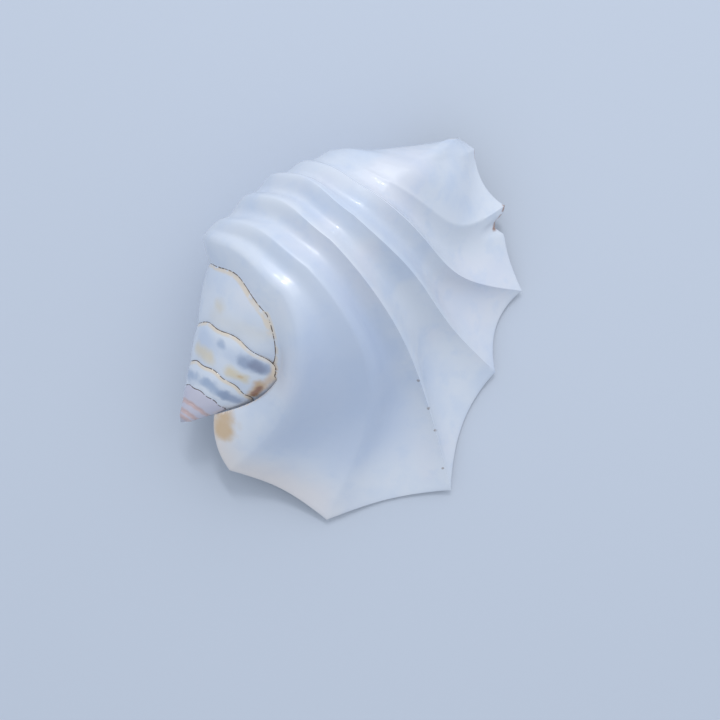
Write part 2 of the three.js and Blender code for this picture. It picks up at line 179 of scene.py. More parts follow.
@dataclass
class LastWhorl:
    """The last whorl and the flared lip: one wall with an outside and an inside.

    Places round it are in degrees of growth: 0 over the top, -90 at the left, -180 on the belly. Places
    along it count the lines, from the seam at 0 to the canal at 8.
    """
    whorl_step: float = 1.58        # each whorl is this much larger than the one before
    lip_end: float = 120
    lip_root: tuple[float, ...] = (-60, -30, 0)     # places on the coil that the lip's curves start from
    top: Fade = Fade(-120, 120)     # from the coil's shape at the left to that over the top
    rise_at: float = -34            # where the lines swing out before the top
    rise_wide: float = 22
    inner_share: float = 0.86       # the turn inside is a little slimmer
    inner_turn: Fade = Fade(-200, -100)
    cavity_near: float = 58         # where the inside ends, by the seam and further on
    cavity_far: float = -80
    cavity_change: Fade = Fade(2.3, 2.4)
    cavity_lean: float = 0.75
    hollow_skew: float = 1.35       # the deepest place of a hollow lies nearer the next rib
    hollow_inside: float = 0.85     # the inside of the wall has most of the hollows' depth
    hollow_deepens: Fade = Fade(-120, 110)
    hollow_sharpens: Fade = Fade(-60, 90)
    hollow_shallows: Fade = Fade(70, 50)
    hollow_edge: float = 0.5        # the share of its depth that a hollow loses at the lip's edge
    drawn: Fade = Fade(0.45, 0.55)  # shares of the lip over which its edge is drawn back
    notch: Fade = Fade(0.8, 0.2)    # and over which the bite before the canal is cut
    notch_gap: int = 5
    notch_at: float = 0.8
    notch_deep: float = 3.8
    notch_wide: float = 0.07
    wall_body: float = 2.8
    wall_edge: float = 1.9
    wall_tip: float = 4.2
    wall_canal: float = 0.4
    wall_tip_narrow: int = 8        # how close to a rib the wall thickens towards its tip
    canal_thins: Fade = Fade(6, 1)
    ring_share: float = 0.35        # how much closer the rings stand by the lines
    round_lip: float = 2.4          # degrees over which the lip's edge is rounded
    round_under: float = 0.85       # the share of that rounding that the underside takes
    round_end: float = 0.12         # lines over which the wall's two ends are rounded
    normal_step: tuple[float, float] = (0.02, 0.5)  # lines and degrees, for the normals
    places_round: int = 170         # from the inner turn to where the inside ends
    places_under: int = 112         # from there to the lip, outside and inside alike
    lip_places: int = 8
    knots: np.ndarray = field(init=False)
    routes: list = field(init=False)

    def __post_init__(self) -> None:
        """Works out the knots across the lines, and each line's route out to its tip."""
        self.knots = np.concatenate([[0.0], np.cumsum([gap.width for gap in GAPS])])
        self.routes = []
        for line in LINES:
            points = np.vstack([self.on_coil(line, np.array(self.lip_root, float)), line.lip])
            steps = np.linalg.norm(np.diff(points, axis=0), axis=1)
            self.routes.append((points, np.concatenate([[0.0], np.cumsum(steps)])))

    @property
    def growth(self) -> float:
        """Growth per degree of coil, as a logarithm."""
        return math.log(self.whorl_step) / 360

    def on_coil(self, line: Line, turned: np.ndarray) -> np.ndarray:
        """Points of one line on the coil.

        Args:
            line: the spiral line.
            turned: places round the coil, in degrees.

        Returns:
            One point for each place.
        """
        left_y, left_radius = line.left
        top_y, top_radius = line.top
        quarter = math.exp(self.growth * 90)
        over = self.top.at(turned)
        keep = np.where(turned < -90, line.inner, 1.0)
        slim = mix(1.0, self.inner_share, self.inner_turn.at(turned))
        radius = left_radius * np.exp(self.growth * (turned + 90)) * slim
        radius = radius * (1 + (top_radius / (left_radius * quarter) - 1) * over)
        y = left_y * np.exp(self.growth * keep * (turned + 90))
        y = y * (1 + (top_y / (left_y * quarter) - 1) * over)
        rise = np.exp(-(((turned - self.rise_at) / self.rise_wide) ** 2))
        y, radius = y * (1 + line.rise[0] * rise), radius * (1 + line.rise[1] * rise)
        up = np.cos(np.radians(turned)) * radius
        z = line.centre[1] + np.where(up < 0, up * line.belly, up)
        return np.stack([line.centre[0] + radius * np.sin(np.radians(turned)), y, z], axis=-1)

    def on_line(self, number: int, turned: np.ndarray) -> np.ndarray:
        """Points of one line, on the coil and out on the lip.

        Args:
            number: which line.
            turned: places round the shell, in degrees.

        Returns:
            One point for each place.
        """
        points, knots = self.routes[number]
        place = mix(knots[len(self.lip_root) - 1], knots[-1], np.clip(turned / self.lip_end, 0, 1))
        outer = spline(knots, place) @ points
        return np.where(turned[:, None] < 0, self.on_coil(LINES[number], np.minimum(turned, 0)), outer)

    def lip_shift(self, along: float) -> tuple[np.ndarray, np.ndarray]:
        """How far the lip's edge moves from the smooth surface to its drawn-back outline, and into the notch.

        Args:
            along: the place along the shell, in lines.

        Returns:
            Both moves, as vectors.
        """
        tips = np.array([points[-1] for points, _ in self.routes])
        i = min(int(along), len(LINES) - 2)
        f = along - i
        smooth_edge = (spline(self.knots, np.array([self.knot(along)])) @ tips)[0]
        chord = tips[i + 1] - tips[i]
        inward = np.array([-chord[1], chord[0], 0.0]) / math.hypot(chord[0], chord[1])
        edge = mix(tips[i], tips[i + 1], f) + inward * GAPS[i].drawn * 4 * f * (1 - f)
        bite = math.exp(-(((f - self.notch_at) / self.notch_wide) ** 2)) if i == self.notch_gap else 0
        return edge - smooth_edge, inward * self.notch_deep * bite

    def knot(self, along: float) -> float:
        """The knot across the lines at a place along the shell."""
        i = min(int(along), len(LINES) - 2)
        return self.knots[i] + GAPS[i].width * (along - i)

    def crest(self, along: float, turned: np.ndarray) -> np.ndarray:
        """The smooth surface through the lines, before the hollows are pressed in.

        Args:
            along: the place along the shell, in lines.
            turned: places round the shell, in degrees.

        Returns:
            One point for each place.
        """
        weights = spline(self.knots, np.array([self.knot(along)]))[0]
        surface = sum(weight * self.on_line(i, turned) for i, weight in enumerate(weights))
        out = (turned / self.lip_end)[:, None]
        drawn, bite = self.lip_shift(along)
        return surface + self.drawn.at(out) * drawn + self.notch.at(out) * bite

    def hollow(self, along: float, turned: np.ndarray) -> np.ndarray:
        """How deep the hollow between two ribs is.

        Args:
            along: the place along the shell, in lines.
            turned: places round the shell, in degrees.

        Returns:
            One depth for each place.
        """
        i = min(int(along), len(LINES) - 2)
        f = along - i
        skewed = f**self.hollow_skew
        sharp, soft = 4 * skewed * (1 - skewed), (1 - math.cos(2 * math.pi * f)) / 2
        rounding = np.maximum(mix(LINES[i].soft, LINES[i + 1].soft, f), 1 - self.hollow_sharpens.at(turned))
        along_rib = self.hollow_deepens.at(turned) * (1 - self.hollow_edge * self.hollow_shallows.at(turned))
        return GAPS[i].hollow * along_rib * mix(sharp, soft, rounding)

    def outward(self, along: float, turned: np.ndarray) -> np.ndarray:
        """The surface's normals, one for each place."""
        lines, degrees = self.normal_step
        low, high = max(along - lines, 0.0), min(along + lines, len(LINES) - 1)
        ahead = np.minimum(turned + degrees, self.lip_end)
        across = self.crest(high, turned) - self.crest(low, turned)
        forward = self.crest(along, ahead) - self.crest(along, ahead - 2 * degrees)
        normal = np.cross(forward, across)
        return normal / np.linalg.norm(normal, axis=1, keepdims=True)

    def thickness(self, along: float, turned: np.ndarray) -> np.ndarray:
        """The wall's thickness, one for each place."""
        tip = abs(math.cos(math.pi * along)) ** self.wall_tip_narrow
        canal = mix(1.0, self.wall_canal, self.canal_thins.at(along))
        edge = mix(self.wall_edge, self.wall_tip, tip)
        return canal * mix(self.wall_body, edge, smooth(turned / self.lip_end))

    def fullness(self, along: float, turned: np.ndarray) -> np.ndarray:
        """How much of its thickness the wall has, which falls off in a round at its edges."""
        last = len(LINES) - 1
        edge = np.clip((turned - self.lip_end + self.round_lip) / self.round_lip, 0, 1)
        end = max(1 - along / self.round_end, 1 - (last - along) / self.round_end, 0.0)
        end = np.where(turned >= self.cavity_end(along) - 1e-6, end, 0.0)
        return np.sqrt(np.clip(1 - edge**2, 0, 1)) * np.sqrt(np.clip(1 - end**2, 0, 1))

    def cavity_end(self, along: float) -> float:
        """Where the inside ends, in degrees."""
        return float(mix(self.cavity_near, self.cavity_far, self.cavity_change.at(along)))

    def sides(self, along: float, turned: np.ndarray) -> tuple[np.ndarray, np.ndarray]:
        """Points on the wall's outside and inside.

        Args:
            along: the place along the shell, in lines.
            turned: places round the shell, in degrees.

        Returns:
            The outside's points and the inside's points.
        """
        crest, normal = self.crest(along, turned), self.outward(along, turned)
        hollow, wall = self.hollow(along, turned), self.thickness(along, turned)
        depth = self.hollow_inside * hollow + wall
        thin = (1 - self.fullness(along, turned)) * (depth - hollow)
        outside = crest - normal * (hollow + (1 - self.round_under) * thin)[:, None]
        inside = crest - normal * (depth - self.round_under * thin)[:, None]
        return outside, inside

    def places(self, along: float) -> tuple[np.ndarray, np.ndarray]:
        """The places round one ring: from the inner turn to where the inside ends, and on to the lip."""
        end = self.cavity_end(along)
        start = -360 + (self.cavity_lean * end if end > 0 else end)
        coil = np.linspace(start, end, self.places_round, endpoint=False)
        flat = np.linspace(end, self.lip_end - self.round_lip, self.places_under, endpoint=False)
        angles = np.linspace(0, math.pi / 2, self.lip_places + 1)
        return coil, np.concatenate([flat, self.lip_end - self.round_lip * (1 - np.sin(angles))])

    def rings(self) -> tuple[np.ndarray, np.ndarray, np.ndarray]:
        """All rings of the wall.

        Returns:
            Points (ring, place, xyz), the place along and round of each, and 1 on the inside.
        """
        points, where, inner = [], [], []
        for i, gap in enumerate(GAPS):
            shares = np.arange(gap.rings + (i == len(GAPS) - 1)) / gap.rings
            for share in mix(shares, (1 - np.cos(np.pi * shares)) / 2, self.ring_share):
                along = i + float(share)
                coil, lip = self.places(along)
                outside, inside = self.sides(along, np.concatenate([coil, lip]))
                points.append(np.vstack([outside, inside[len(coil):][::-1]]))
                turned = np.concatenate([coil, lip, lip[::-1]])
                where.append(np.stack([np.full(len(turned), along), turned], axis=-1))
                inner.append(np.concatenate([np.zeros(len(coil) + len(lip)), np.ones(len(lip))]))
        return np.array(points), np.array(where), np.array(inner)


@dataclass
class Spire:
    """The spire: one spiral cone. `left` is the radius and y of its lowest seam at the shell's left."""
    turns: float = 5.5
    over: float = 0.5               # how much of a turn it carries on under the last whorl
    left_radius: float = 29.8
    left_y: float = 49.5
    apex: tuple[float, float] = (-0.4, 28)
    foot: tuple[float, float] = (68, 32)
    pressed: float = 0.94
    bulge: float = 0.045
    knobs: int = 9
    knob: float = 0.012
    lift: float = 0.1               # its seams are lifted over the top and a little wavy
    wave: float = 0.014
    nose: float = 2.2               # how much the nose is blunted
    shrinks: Fade = Fade(0.2, 0.3)
    shrink: float = 0.12
    per_turn: int = 112
    across: int = 16

    def points(self, growth: float) -> tuple[np.ndarray, np.ndarray]:
        """All points of the spire.

        Args:
            growth: growth per degree of coil, as a logarithm.

        Returns:
            Points (step, place across the whorl, xyz), and each one's turn and share across.
        """
        steps = round(self.turns * self.per_turn)
        turn = (np.arange(steps + 1) / self.per_turn - self.turns + self.over)[:, None]
        across = ((1 - np.cos(np.pi * np.arange(self.across + 1) / self.across)) / 2)[None, :]
        grown = np.exp(growth * 360 * turn)
        step = mix(math.exp(-growth * 360), 1.0, across)
        full = np.sqrt(np.clip(4 * across * (1 - across), 0, 1))
        ripple = np.cos(2 * np.pi * self.knobs * turn)
        sunk = 1 - self.shrink * self.shrinks.at(turn)
        swell = self.bulge * full + self.knob * ripple * full * full
        radius = self.left_radius * grown * sunk * (step + swell)
        angle = 2 * np.pi * (turn - 0.25)
        lifted = 1 + self.lift * np.maximum(np.cos(angle), 0) + self.wave * ripple
        cone = self.left_y * grown * step * lifted
        share = np.minimum(cone / self.left_y, 1)
        y = cone - self.nose * (1 - share) ** 2
        axis = mix(self.apex[1], self.foot[1], share)
        points = np.stack([radius * np.sin(angle), y, axis + self.pressed * radius * np.cos(angle)], axis=-1)
        where = np.stack(np.broadcast_arrays(turn, across), axis=-1)
        return points, where


class Sheet:
    """A grid primitive whose corners are set out on a curved surface, then welded and closed in edit mode."""

    def __init__(self, name: str, points: np.ndarray) -> None:
        """Adds the grid and sets out its corners.

        Args:
            name: the piece's name.
            points: the corners (row, column, xyz), in metres.
        """
        rows, columns = points.shape[:2]
        bpy.ops.object.select_all(action="DESELECT")
        bpy.ops.mesh.primitive_grid_add(x_subdivisions=columns - 1, y_subdivisions=rows - 1, size=1)
        self.object = bpy.context.object
        self.object.name = self.object.data.name = name
        self.object.data.vertices.foreach_set("co", points.reshape(-1))
        self.object.data.update()

    @property
    def corners(self) -> np.ndarray:
        """All corners, in metres."""
        flat = np.zeros(3 * len(self.object.data.vertices), np.float32)
        self.object.data.vertices.foreach_get("co", flat)
        return flat.reshape(-1, 3)

    def weld(self, distance: float) -> None:
        """Merges corners that lie closer than a distance, in metres."""
        self.enter()
        bpy.ops.mesh.select_all(action="SELECT")
        bpy.ops.mesh.remove_doubles(threshold=distance)
        self.leave()

    def enter(self) -> None:
        """Starts edit mode on this piece alone."""
        bpy.ops.object.select_all(action="DESELECT")
        bpy.context.view_layer.objects.active = self.object
        self.object.select_set(True)
        bpy.ops.object.mode_set(mode="EDIT")

    def leave(self) -> None:
        """Ends edit mode."""
        bpy.ops.object.mode_set(mode="OBJECT")

    def close(self, low: float, high: float, peak: np.ndarray) -> None:
        """Closes the open edge that lies in a stretch of y, with faces up to a peak.

        Args:
            low: where the stretch starts, in metres.
            high: where it ends.
            peak: where the new faces meet.
        """
        self.enter()
        bpy.ops.mesh.select_mode(type="EDGE")
        bpy.ops.mesh.select_all(action="DESELECT")
        bpy.ops.mesh.select_non_manifold(
            extend=False, use_wire=False, use_boundary=True, use_multi_face=False,
            use_non_contiguous=False, use_verts=False)
        self.leave()
        mesh, corners = self.object.data, self.corners
        ends = np.zeros(2 * len(mesh.edges), np.int32)
        picked = np.zeros(len(mesh.edges), bool)
        mesh.edges.foreach_get("vertices", ends)
        mesh.edges.foreach_get("select", picked)
        y = corners[ends.reshape(-1, 2), 1].mean(axis=1)
        picked &= (y > low) & (y < high)
        chosen = np.zeros(len(corners), bool)
        chosen[ends.reshape(-1, 2)[picked]] = True
        mesh.edges.foreach_set("select", picked)
        mesh.vertices.foreach_set("select", chosen)
        self.enter()
        bpy.ops.mesh.select_mode(type="VERT")
        bpy.ops.mesh.extrude_region_move()
        bpy.ops.mesh.merge(type="CENTER")
        self.leave()
        middle = next(vertex for vertex in mesh.vertices if vertex.select)
        middle.co = peak

    def face_out(self) -> None:
        """Turns all faces outwards."""
        self.enter()
        bpy.ops.mesh.select_mode(type="VERT")
        bpy.ops.mesh.select_all(action="SELECT")
        bpy.ops.mesh.normals_make_consistent(inside=False)
        self.leave()

    def join(self, other: "Sheet") -> None:
        """Joins another closed piece to this one, in one closed mesh."""
        joint = self.object.modifiers.new("joined", "BOOLEAN")
        joint.operation = "UNION"
        joint.solver = "MANIFOLD"
        joint.object = other.object
        bpy.context.view_layer.objects.active = self.object
        bpy.ops.object.modifier_apply(modifier=joint.name)
        bpy.data.objects.remove(other.object)

    def keep_outer(self) -> None:
        """Takes out pockets that are sealed inside: only what is linked to the lowest corner stays."""
        lowest = int(self.corners[:, 2].argmin())
        mesh = self.object.data
        for parts in (mesh.vertices, mesh.edges, mesh.polygons):
            parts.foreach_set("select", np.zeros(len(parts), bool))
        mesh.vertices[lowest].select = True
        self.enter()
        bpy.ops.mesh.select_mode(type="VERT")
        bpy.ops.mesh.select_linked()
        bpy.ops.mesh.select_all(action="INVERT")
        bpy.ops.mesh.delete(type="VERT")
        self.leave()


class Mark(Enum):
    """What is noted at each corner of the finished mesh, for its material."""
    SPIRE = "spire"      # 1 on the spire, 0 on the last whorl and the lip
    ALONG = "along"      # lines from the seam, or turns of the spire
    ROUND = "round"      # degrees round the last whorl, or the share across a whorl of the spire
    INNER = "inner"      # 1 on the inside of the wall
    SEAM = "seam"        # millimetres to the nearest seam of the spire


@dataclass
class Shell:
    """The whole shell."""
    whorl: LastWhorl = field(default_factory=LastWhorl)
    spire: Spire = field(default_factory=Spire)
    seam_sunk: float = 12           # how far the wall's end by the seam reaches under the spire
    seam_detail: int = 8            # points of a seam for each step of the spire
    weld: float = 1e-3              # corners closer than this are one
    same: float = 2e-3              # a corner further than this from both surfaces is where they meet
    canal_depth: float = 2          # open edges from this far before the canal's end belong to that end
    half_way: float = 10            # the y that parts the spire's two open ends
    crease: float = 50              # degrees, beyond which an edge is drawn sharp

    def place(self, points: np.ndarray, inside_box: bool = True) -> np.ndarray:
        """Moves points from millimetres from the spire's tip to the row's frame, in metres.

        Args:
            points: any array of points.
            inside_box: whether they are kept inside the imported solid's box.

        Returns:
            The same points in the row's frame.
        """
        tips = np.array([line.lip[-1] for line in LINES])
        top = max(line.centre[1] + line.top[1] for line in LINES)
        reach = np.array([tips[:, 0].max(), tips[:, 1].max(), top])
        low, high = (np.array(corner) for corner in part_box("shell"))
        moved = points * MM + (high - reach * MM)
        return np.clip(moved, low, high) if inside_box else moved

    def build(self) -> bpy.types.Object:
        """Makes the finished mesh and notes the marks on it.

        Returns:
            The piece.
        """
        wall_points, wall_where, inner = self.whorl.rings()
        cone_points, cone_where = self.spire.points(self.whorl.growth)
        turn = self.spire.per_turn
        cone_points[:-turn, -1] = cone_points[turn:, 0]
        wall = Sheet("shell_wall", self.place(np.concatenate([wall_points, wall_points[:, :1]], axis=1)))
        wall.weld(MM * self.weld)
        first, last = wall_points[0, :self.whorl.places_round], wall_points[-1, :self.whorl.places_round]
        under_spire = self.place(first.mean(axis=0) - [0, self.seam_sunk, 0])
        canal_y = self.place(last)[:, 1].min() - self.canal_depth * MM
        wall.close(-1, canal_y, under_spire)
        wall.close(canal_y, 1, self.place(last.mean(axis=0)))
        wall.face_out()
        cone = Sheet("shell_spire", self.place(cone_points))
        cone.weld(MM * self.weld)
        half_way = float(self.place(np.array([0, self.half_way, 0]))[1])
        cone.close(-1, half_way, self.place(np.array([0, *self.spire.apex])))
        cone.close(half_way, 1, self.place(np.array([0, *self.spire.foot])))
        cone.face_out()
        wall.join(cone)
        wall.keep_outer()
        self.note(wall, wall_points, wall_where, inner, cone_points, cone_where)
        piece = wall.object
        piece.name = piece.data.name = "conch_shell"
        bpy.ops.object.select_all(action="DESELECT")
        piece.select_set(True)
        bpy.ops.object.shade_smooth_by_angle(angle=math.radians(self.crease))
        return piece

    def note(self, sheet: Sheet, wall_points, wall_where, inner, cone_points, cone_where) -> None:
        """Notes the marks at each corner, from the nearest point of the surfaces that were joined."""
        source = np.vstack([self.place(wall_points).reshape(-1, 3), self.place(cone_points).reshape(-1, 3)])
        where = np.vstack([wall_where.reshape(-1, 2), cone_where.reshape(-1, 2)])
        on_spire = np.arange(len(source)) >= wall_points.shape[0] * wall_points.shape[1]
        inside = np.concatenate([inner.reshape(-1), np.zeros(on_spire.sum())])
        tree = KDTree(len(source))
        for i, point in enumerate(source):
            tree.insert(point, i)
        tree.balance()
        corners = sheet.corners
        found = [tree.find(corner) for corner in corners]
        nearest = np.array([hit[1] for hit in found])
        new = np.array([hit[2] for hit in found]) > MM * self.same
        seams = self.seam_points(sheet, corners, new)
        seam_tree = KDTree(len(seams))
        for i, point in enumerate(seams):
            seam_tree.insert(point, i)
        seam_tree.balance()
        distance = np.array([seam_tree.find(corner)[2] for corner in corners]) / MM
        marks = {Mark.SPIRE: on_spire[nearest], Mark.ALONG: where[nearest, 0], Mark.ROUND: where[nearest, 1],
                 Mark.INNER: inside[nearest], Mark.SEAM: distance}
        for mark, values in marks.items():
            attribute = sheet.object.data.attributes.new(mark.value, "FLOAT", "POINT")
            attribute.data.foreach_set("value", values.astype(np.float32))

    def seam_points(self, sheet: Sheet, corners: np.ndarray, new: np.ndarray) -> np.ndarray:
        """Closely spaced points on the spire's seams and on the line where the last whorl meets it."""
        ends = np.zeros(2 * len(sheet.object.data.edges), np.int32)
        sheet.object.data.edges.foreach_get("vertices", ends)
        ends = ends.reshape(-1, 2)
        by_spire = corners[:, 1] < float(self.place(np.array([0, self.spire.foot[0], 0]))[1])
        ends = ends[(new & by_spire)[ends].all(axis=1)]
        shares = np.linspace(0, 1, self.seam_detail)
        meeting = [mix(corners[ends[:, 0]], corners[ends[:, 1]], share) for share in shares]
        fine = Spire(per_turn=self.spire.per_turn * self.seam_detail, across=1)
        seams = self.place(fine.points(self.whorl.growth)[0][:, 0])
        return np.vstack([*meeting, seams])


class Value:
    """A number that the shader works out, with the usual arithmetic."""

    def __init__(self, shader: "Shader", socket: bpy.types.NodeSocket) -> None:
        """Wraps a socket."""
        self.shader, self.socket = shader, socket

    def math(self, operation: str, *others) -> "Value":
        """One Math node on this number and others."""
        values = {i: value for i, value in enumerate((self, *others))}
        return self.shader.node("ShaderNodeMath", {"operation": operation}, values)

    def __add__(self, other) -> "Value":
        """Sum."""
        return self.math("ADD", other)

    __radd__ = __add__

    def __mul__(self, other) -> "Value":
        """Product."""
        return self.math("MULTIPLY", other)

    __rmul__ = __mul__

    def __sub__(self, other) -> "Value":
        """Difference."""
        return self.math("SUBTRACT", other)

    def __rsub__(self, other) -> "Value":
        """A number less this one."""
        return (self * -1) + other

    def __truediv__(self, other) -> "Value":
        """Quotient."""
        return self.math("DIVIDE", other)

    def __pow__(self, other) -> "Value":
        """Power."""
        return self.math("POWER", other)

    def ramp(self, low: float, high: float) -> "Value":
        """A smooth step: 0 at low, 1 at high. Low may be the larger."""
        return self.shader.node("ShaderNodeMapRange", {"interpolation_type": "SMOOTHSTEP"},
                                {"Value": self, "From Min": low, "From Max": high})


class Shader:
    """The nodes of one material."""

    def __init__(self, name: str) -> None:
        """Starts a material with its Principled shader."""
        self.material = bpy.data.materials.new(name)
        self.material.use_nodes = True
        self.tree = self.material.node_tree
        self.surface = self.tree.nodes["Principled BSDF"]

    def node(self, kind: str, settings: dict | None = None, values: dict | None = None, output=0) -> Value:
        """Adds one node.

        Args:
            kind: the node's type.
            settings: its settings, which are set first.
            values: the values or links of its sockets, by name or number.
            output: the name or number of the output wanted.

        Returns:
            That output.
        """
        node = self.tree.nodes.new(kind)
        for name, setting in (settings or {}).items():
            setattr(node, name, setting)
        for name, value in (values or {}).items():
            self.put(node.inputs[name], value)
        return Value(self, node.outputs[output])

    def put(self, socket: bpy.types.NodeSocket, value) -> None:
        """Links a Value to a socket, or sets the socket to a constant."""
        if isinstance(value, Value):
            self.tree.links.new(value.socket, socket)
        elif socket.type == "RGBA" and len(value) == 3:
            socket.default_value = (*value, 1.0)
        else:
            socket.default_value = value

    def vector(self, operation: str, first, second=(0.0, 0.0, 0.0), scale=1.0) -> Value:
        """One Vector Math node. Its length, distance or dot product comes as a number."""
        node = self.tree.nodes.new("ShaderNodeVectorMath")
        node.operation = operation
        self.put(node.inputs[0], first)
        if operation == "SCALE":
            self.put(node.inputs["Scale"], scale)
        elif operation != "LENGTH":
            self.put(node.inputs[1], second)
        return Value(self, node.outputs[1 if operation in ("LENGTH", "DISTANCE", "DOT_PRODUCT") else 0])

    def blend(self, first, second, share) -> Value:
        """Mixes two colours."""
        node = self.tree.nodes.new("ShaderNodeMix")
        node.data_type = "RGBA"
        for socket, value in zip((node.inputs[0], node.inputs[6], node.inputs[7]), (share, first, second)):
            self.put(socket, value)
        return Value(self, node.outputs[2])

    def mark(self, mark: Mark) -> Value:
        """Reads a mark from the mesh."""
        return self.node("ShaderNodeAttribute", {"attribute_name": mark.value}, output="Fac")

    def noise(self, place: Value, scale: float, detail: float = 2, roughness: float = 0.5) -> Value:
        """A soft noise over places."""
        values = {"Vector": place, "Scale": scale, "Detail": detail, "Roughness": roughness}
        return self.node("ShaderNodeTexNoise", {}, values)


Colour = tuple[float, float, float]
Place = tuple[float, float, float]
Pair = tuple[float, float]


@dataclass(frozen=True)
class Stroke:
    """A soft coloured mark from one place to another, in millimetres from the tip of the spire."""
    start: Place
    end: Place
    radius: float
    colour: Colour
    soft: float = 1.0       # millimetres over which its edge fades
    strength: float = 1.0
    inner: float = 0.3      # the share of that fade that lies inside its radius


SLATE, MIST, SEA = (0.27, 0.34, 0.50), (0.52, 0.60, 0.76), (0.36, 0.45, 0.62)
STRAW, HONEY, RUST = (0.70, 0.60, 0.42), (0.60, 0.38, 0.18), (0.28, 0.11, 0.05)
STAIN = (0.62, 0.43, 0.24)
# Dark bluish strokes on the spire's whorls, and straw, honey and rust brown ones.
SPIRE_STROKES = (
    Stroke((-13.2, 29.7, 41.7), (4.7, 34.2, 48.4), 2.2, MIST, 3.0, 0.75),
    Stroke((-6.3, 32.9, 47.2), (-5.5, 33.2, 47.6), 0.9, SEA, 2.0, 0.8),
    Stroke((4.4, 34.1, 48.4), (11.4, 36.6, 47.8), 1.8, SLATE, 2.2, 0.8),
    Stroke((7.8, 35.3, 48.4), (10.2, 36.0, 48.0), 0.9, (0.19, 0.22, 0.34), 2.0, 0.7),
    Stroke((-12.4, 25.6, 38.7), (-6.6, 26.5, 43.0), 1.2, STRAW, 2.8, 0.7),
    Stroke((2.2, 27.6, 44.8), (7.8, 29.0, 44.6), 0.9, STRAW, 2.4, 0.85),
    Stroke((6.2, 29.0, 44.7), (6.7, 29.1, 44.7), 0.3, HONEY, 1.1, 0.95),
    Stroke((15.0, 39.5, 48.0), (15.4, 31.0, 41.5), 0.9, (0.72, 0.50, 0.30), 2.2, 0.7),
    Stroke((13.0, 30.6, 42.4), (13.8, 25.6, 37.4), 1.5, HONEY, 2.0, 0.85),
    Stroke((13.8, 29.8, 41.2), (13.9, 26.2, 37.8), 0.8, RUST, 1.3, 0.9),
    Stroke((-9.2, 15.6, 33.5), (-1.4, 18.9, 39.4), 1.4, SEA, 1.8, 0.9),
    Stroke((-1.4, 18.9, 39.4), (6.0, 19.7, 38.7), 1.4, SEA, 1.8, 1.0),
    Stroke((6.0, 19.7, 38.7), (10.8, 20.8, 35.8), 1.4, SLATE, 1.7, 0.85),
    Stroke((-16.0, 42.6, 49.6), (-15.0, 42.9, 50.3), 1.0, STRAW, 3.0, 0.45),
    Stroke((-14.0, 39.5, 47.0), (4.0, 46.0, 56.5), 1.0, STRAW, 5.0, 0.22),
)
WING_STROKES = (
    Stroke((11.0, 11.4, 33.0), (14.4, 6.8, 29.5), 3.2, STAIN, 2.6, 0.85),
    Stroke((9.0, 10.0, 33.0), (17.4, 12.0, 33.5), 0.7, STAIN, 3.2, 0.6),
    Stroke((12.4, 8.4, 31.0), (19.4, 9.0, 30.5), 0.5, STAIN, 2.2, 0.5),
    Stroke((11.6, 10.4, 32.0), (15.2, 9.6, 31.0), 0.5, HONEY, 1.8, 0.55),
    Stroke((37.6, 139.6, 11.0), (39.0, 134.8, 10.0), 0.5, RUST, 1.3, 0.9),
    Stroke((35.6, 144.4, 12.0), (36.8, 142.6, 12.0), 0.5, RUST, 1.0, 0.85),
    Stroke((12.9, 152.2, 14.0), (15.2, 147.9, 13.0), 0.4, RUST, 1.2, 0.8),
)
PITS = ((55.7, 70.5), (65.5, 65.4), (74.4, 61.0), (87.2, 51.8))


@dataclass(frozen=True)
class Cloud:
    """Faint clouds of one colour: the noise's scale and detail, where it shows, and how much."""
    colour: Colour
    scale: float
    detail: float
    shows: tuple[float, float]
    strength: float


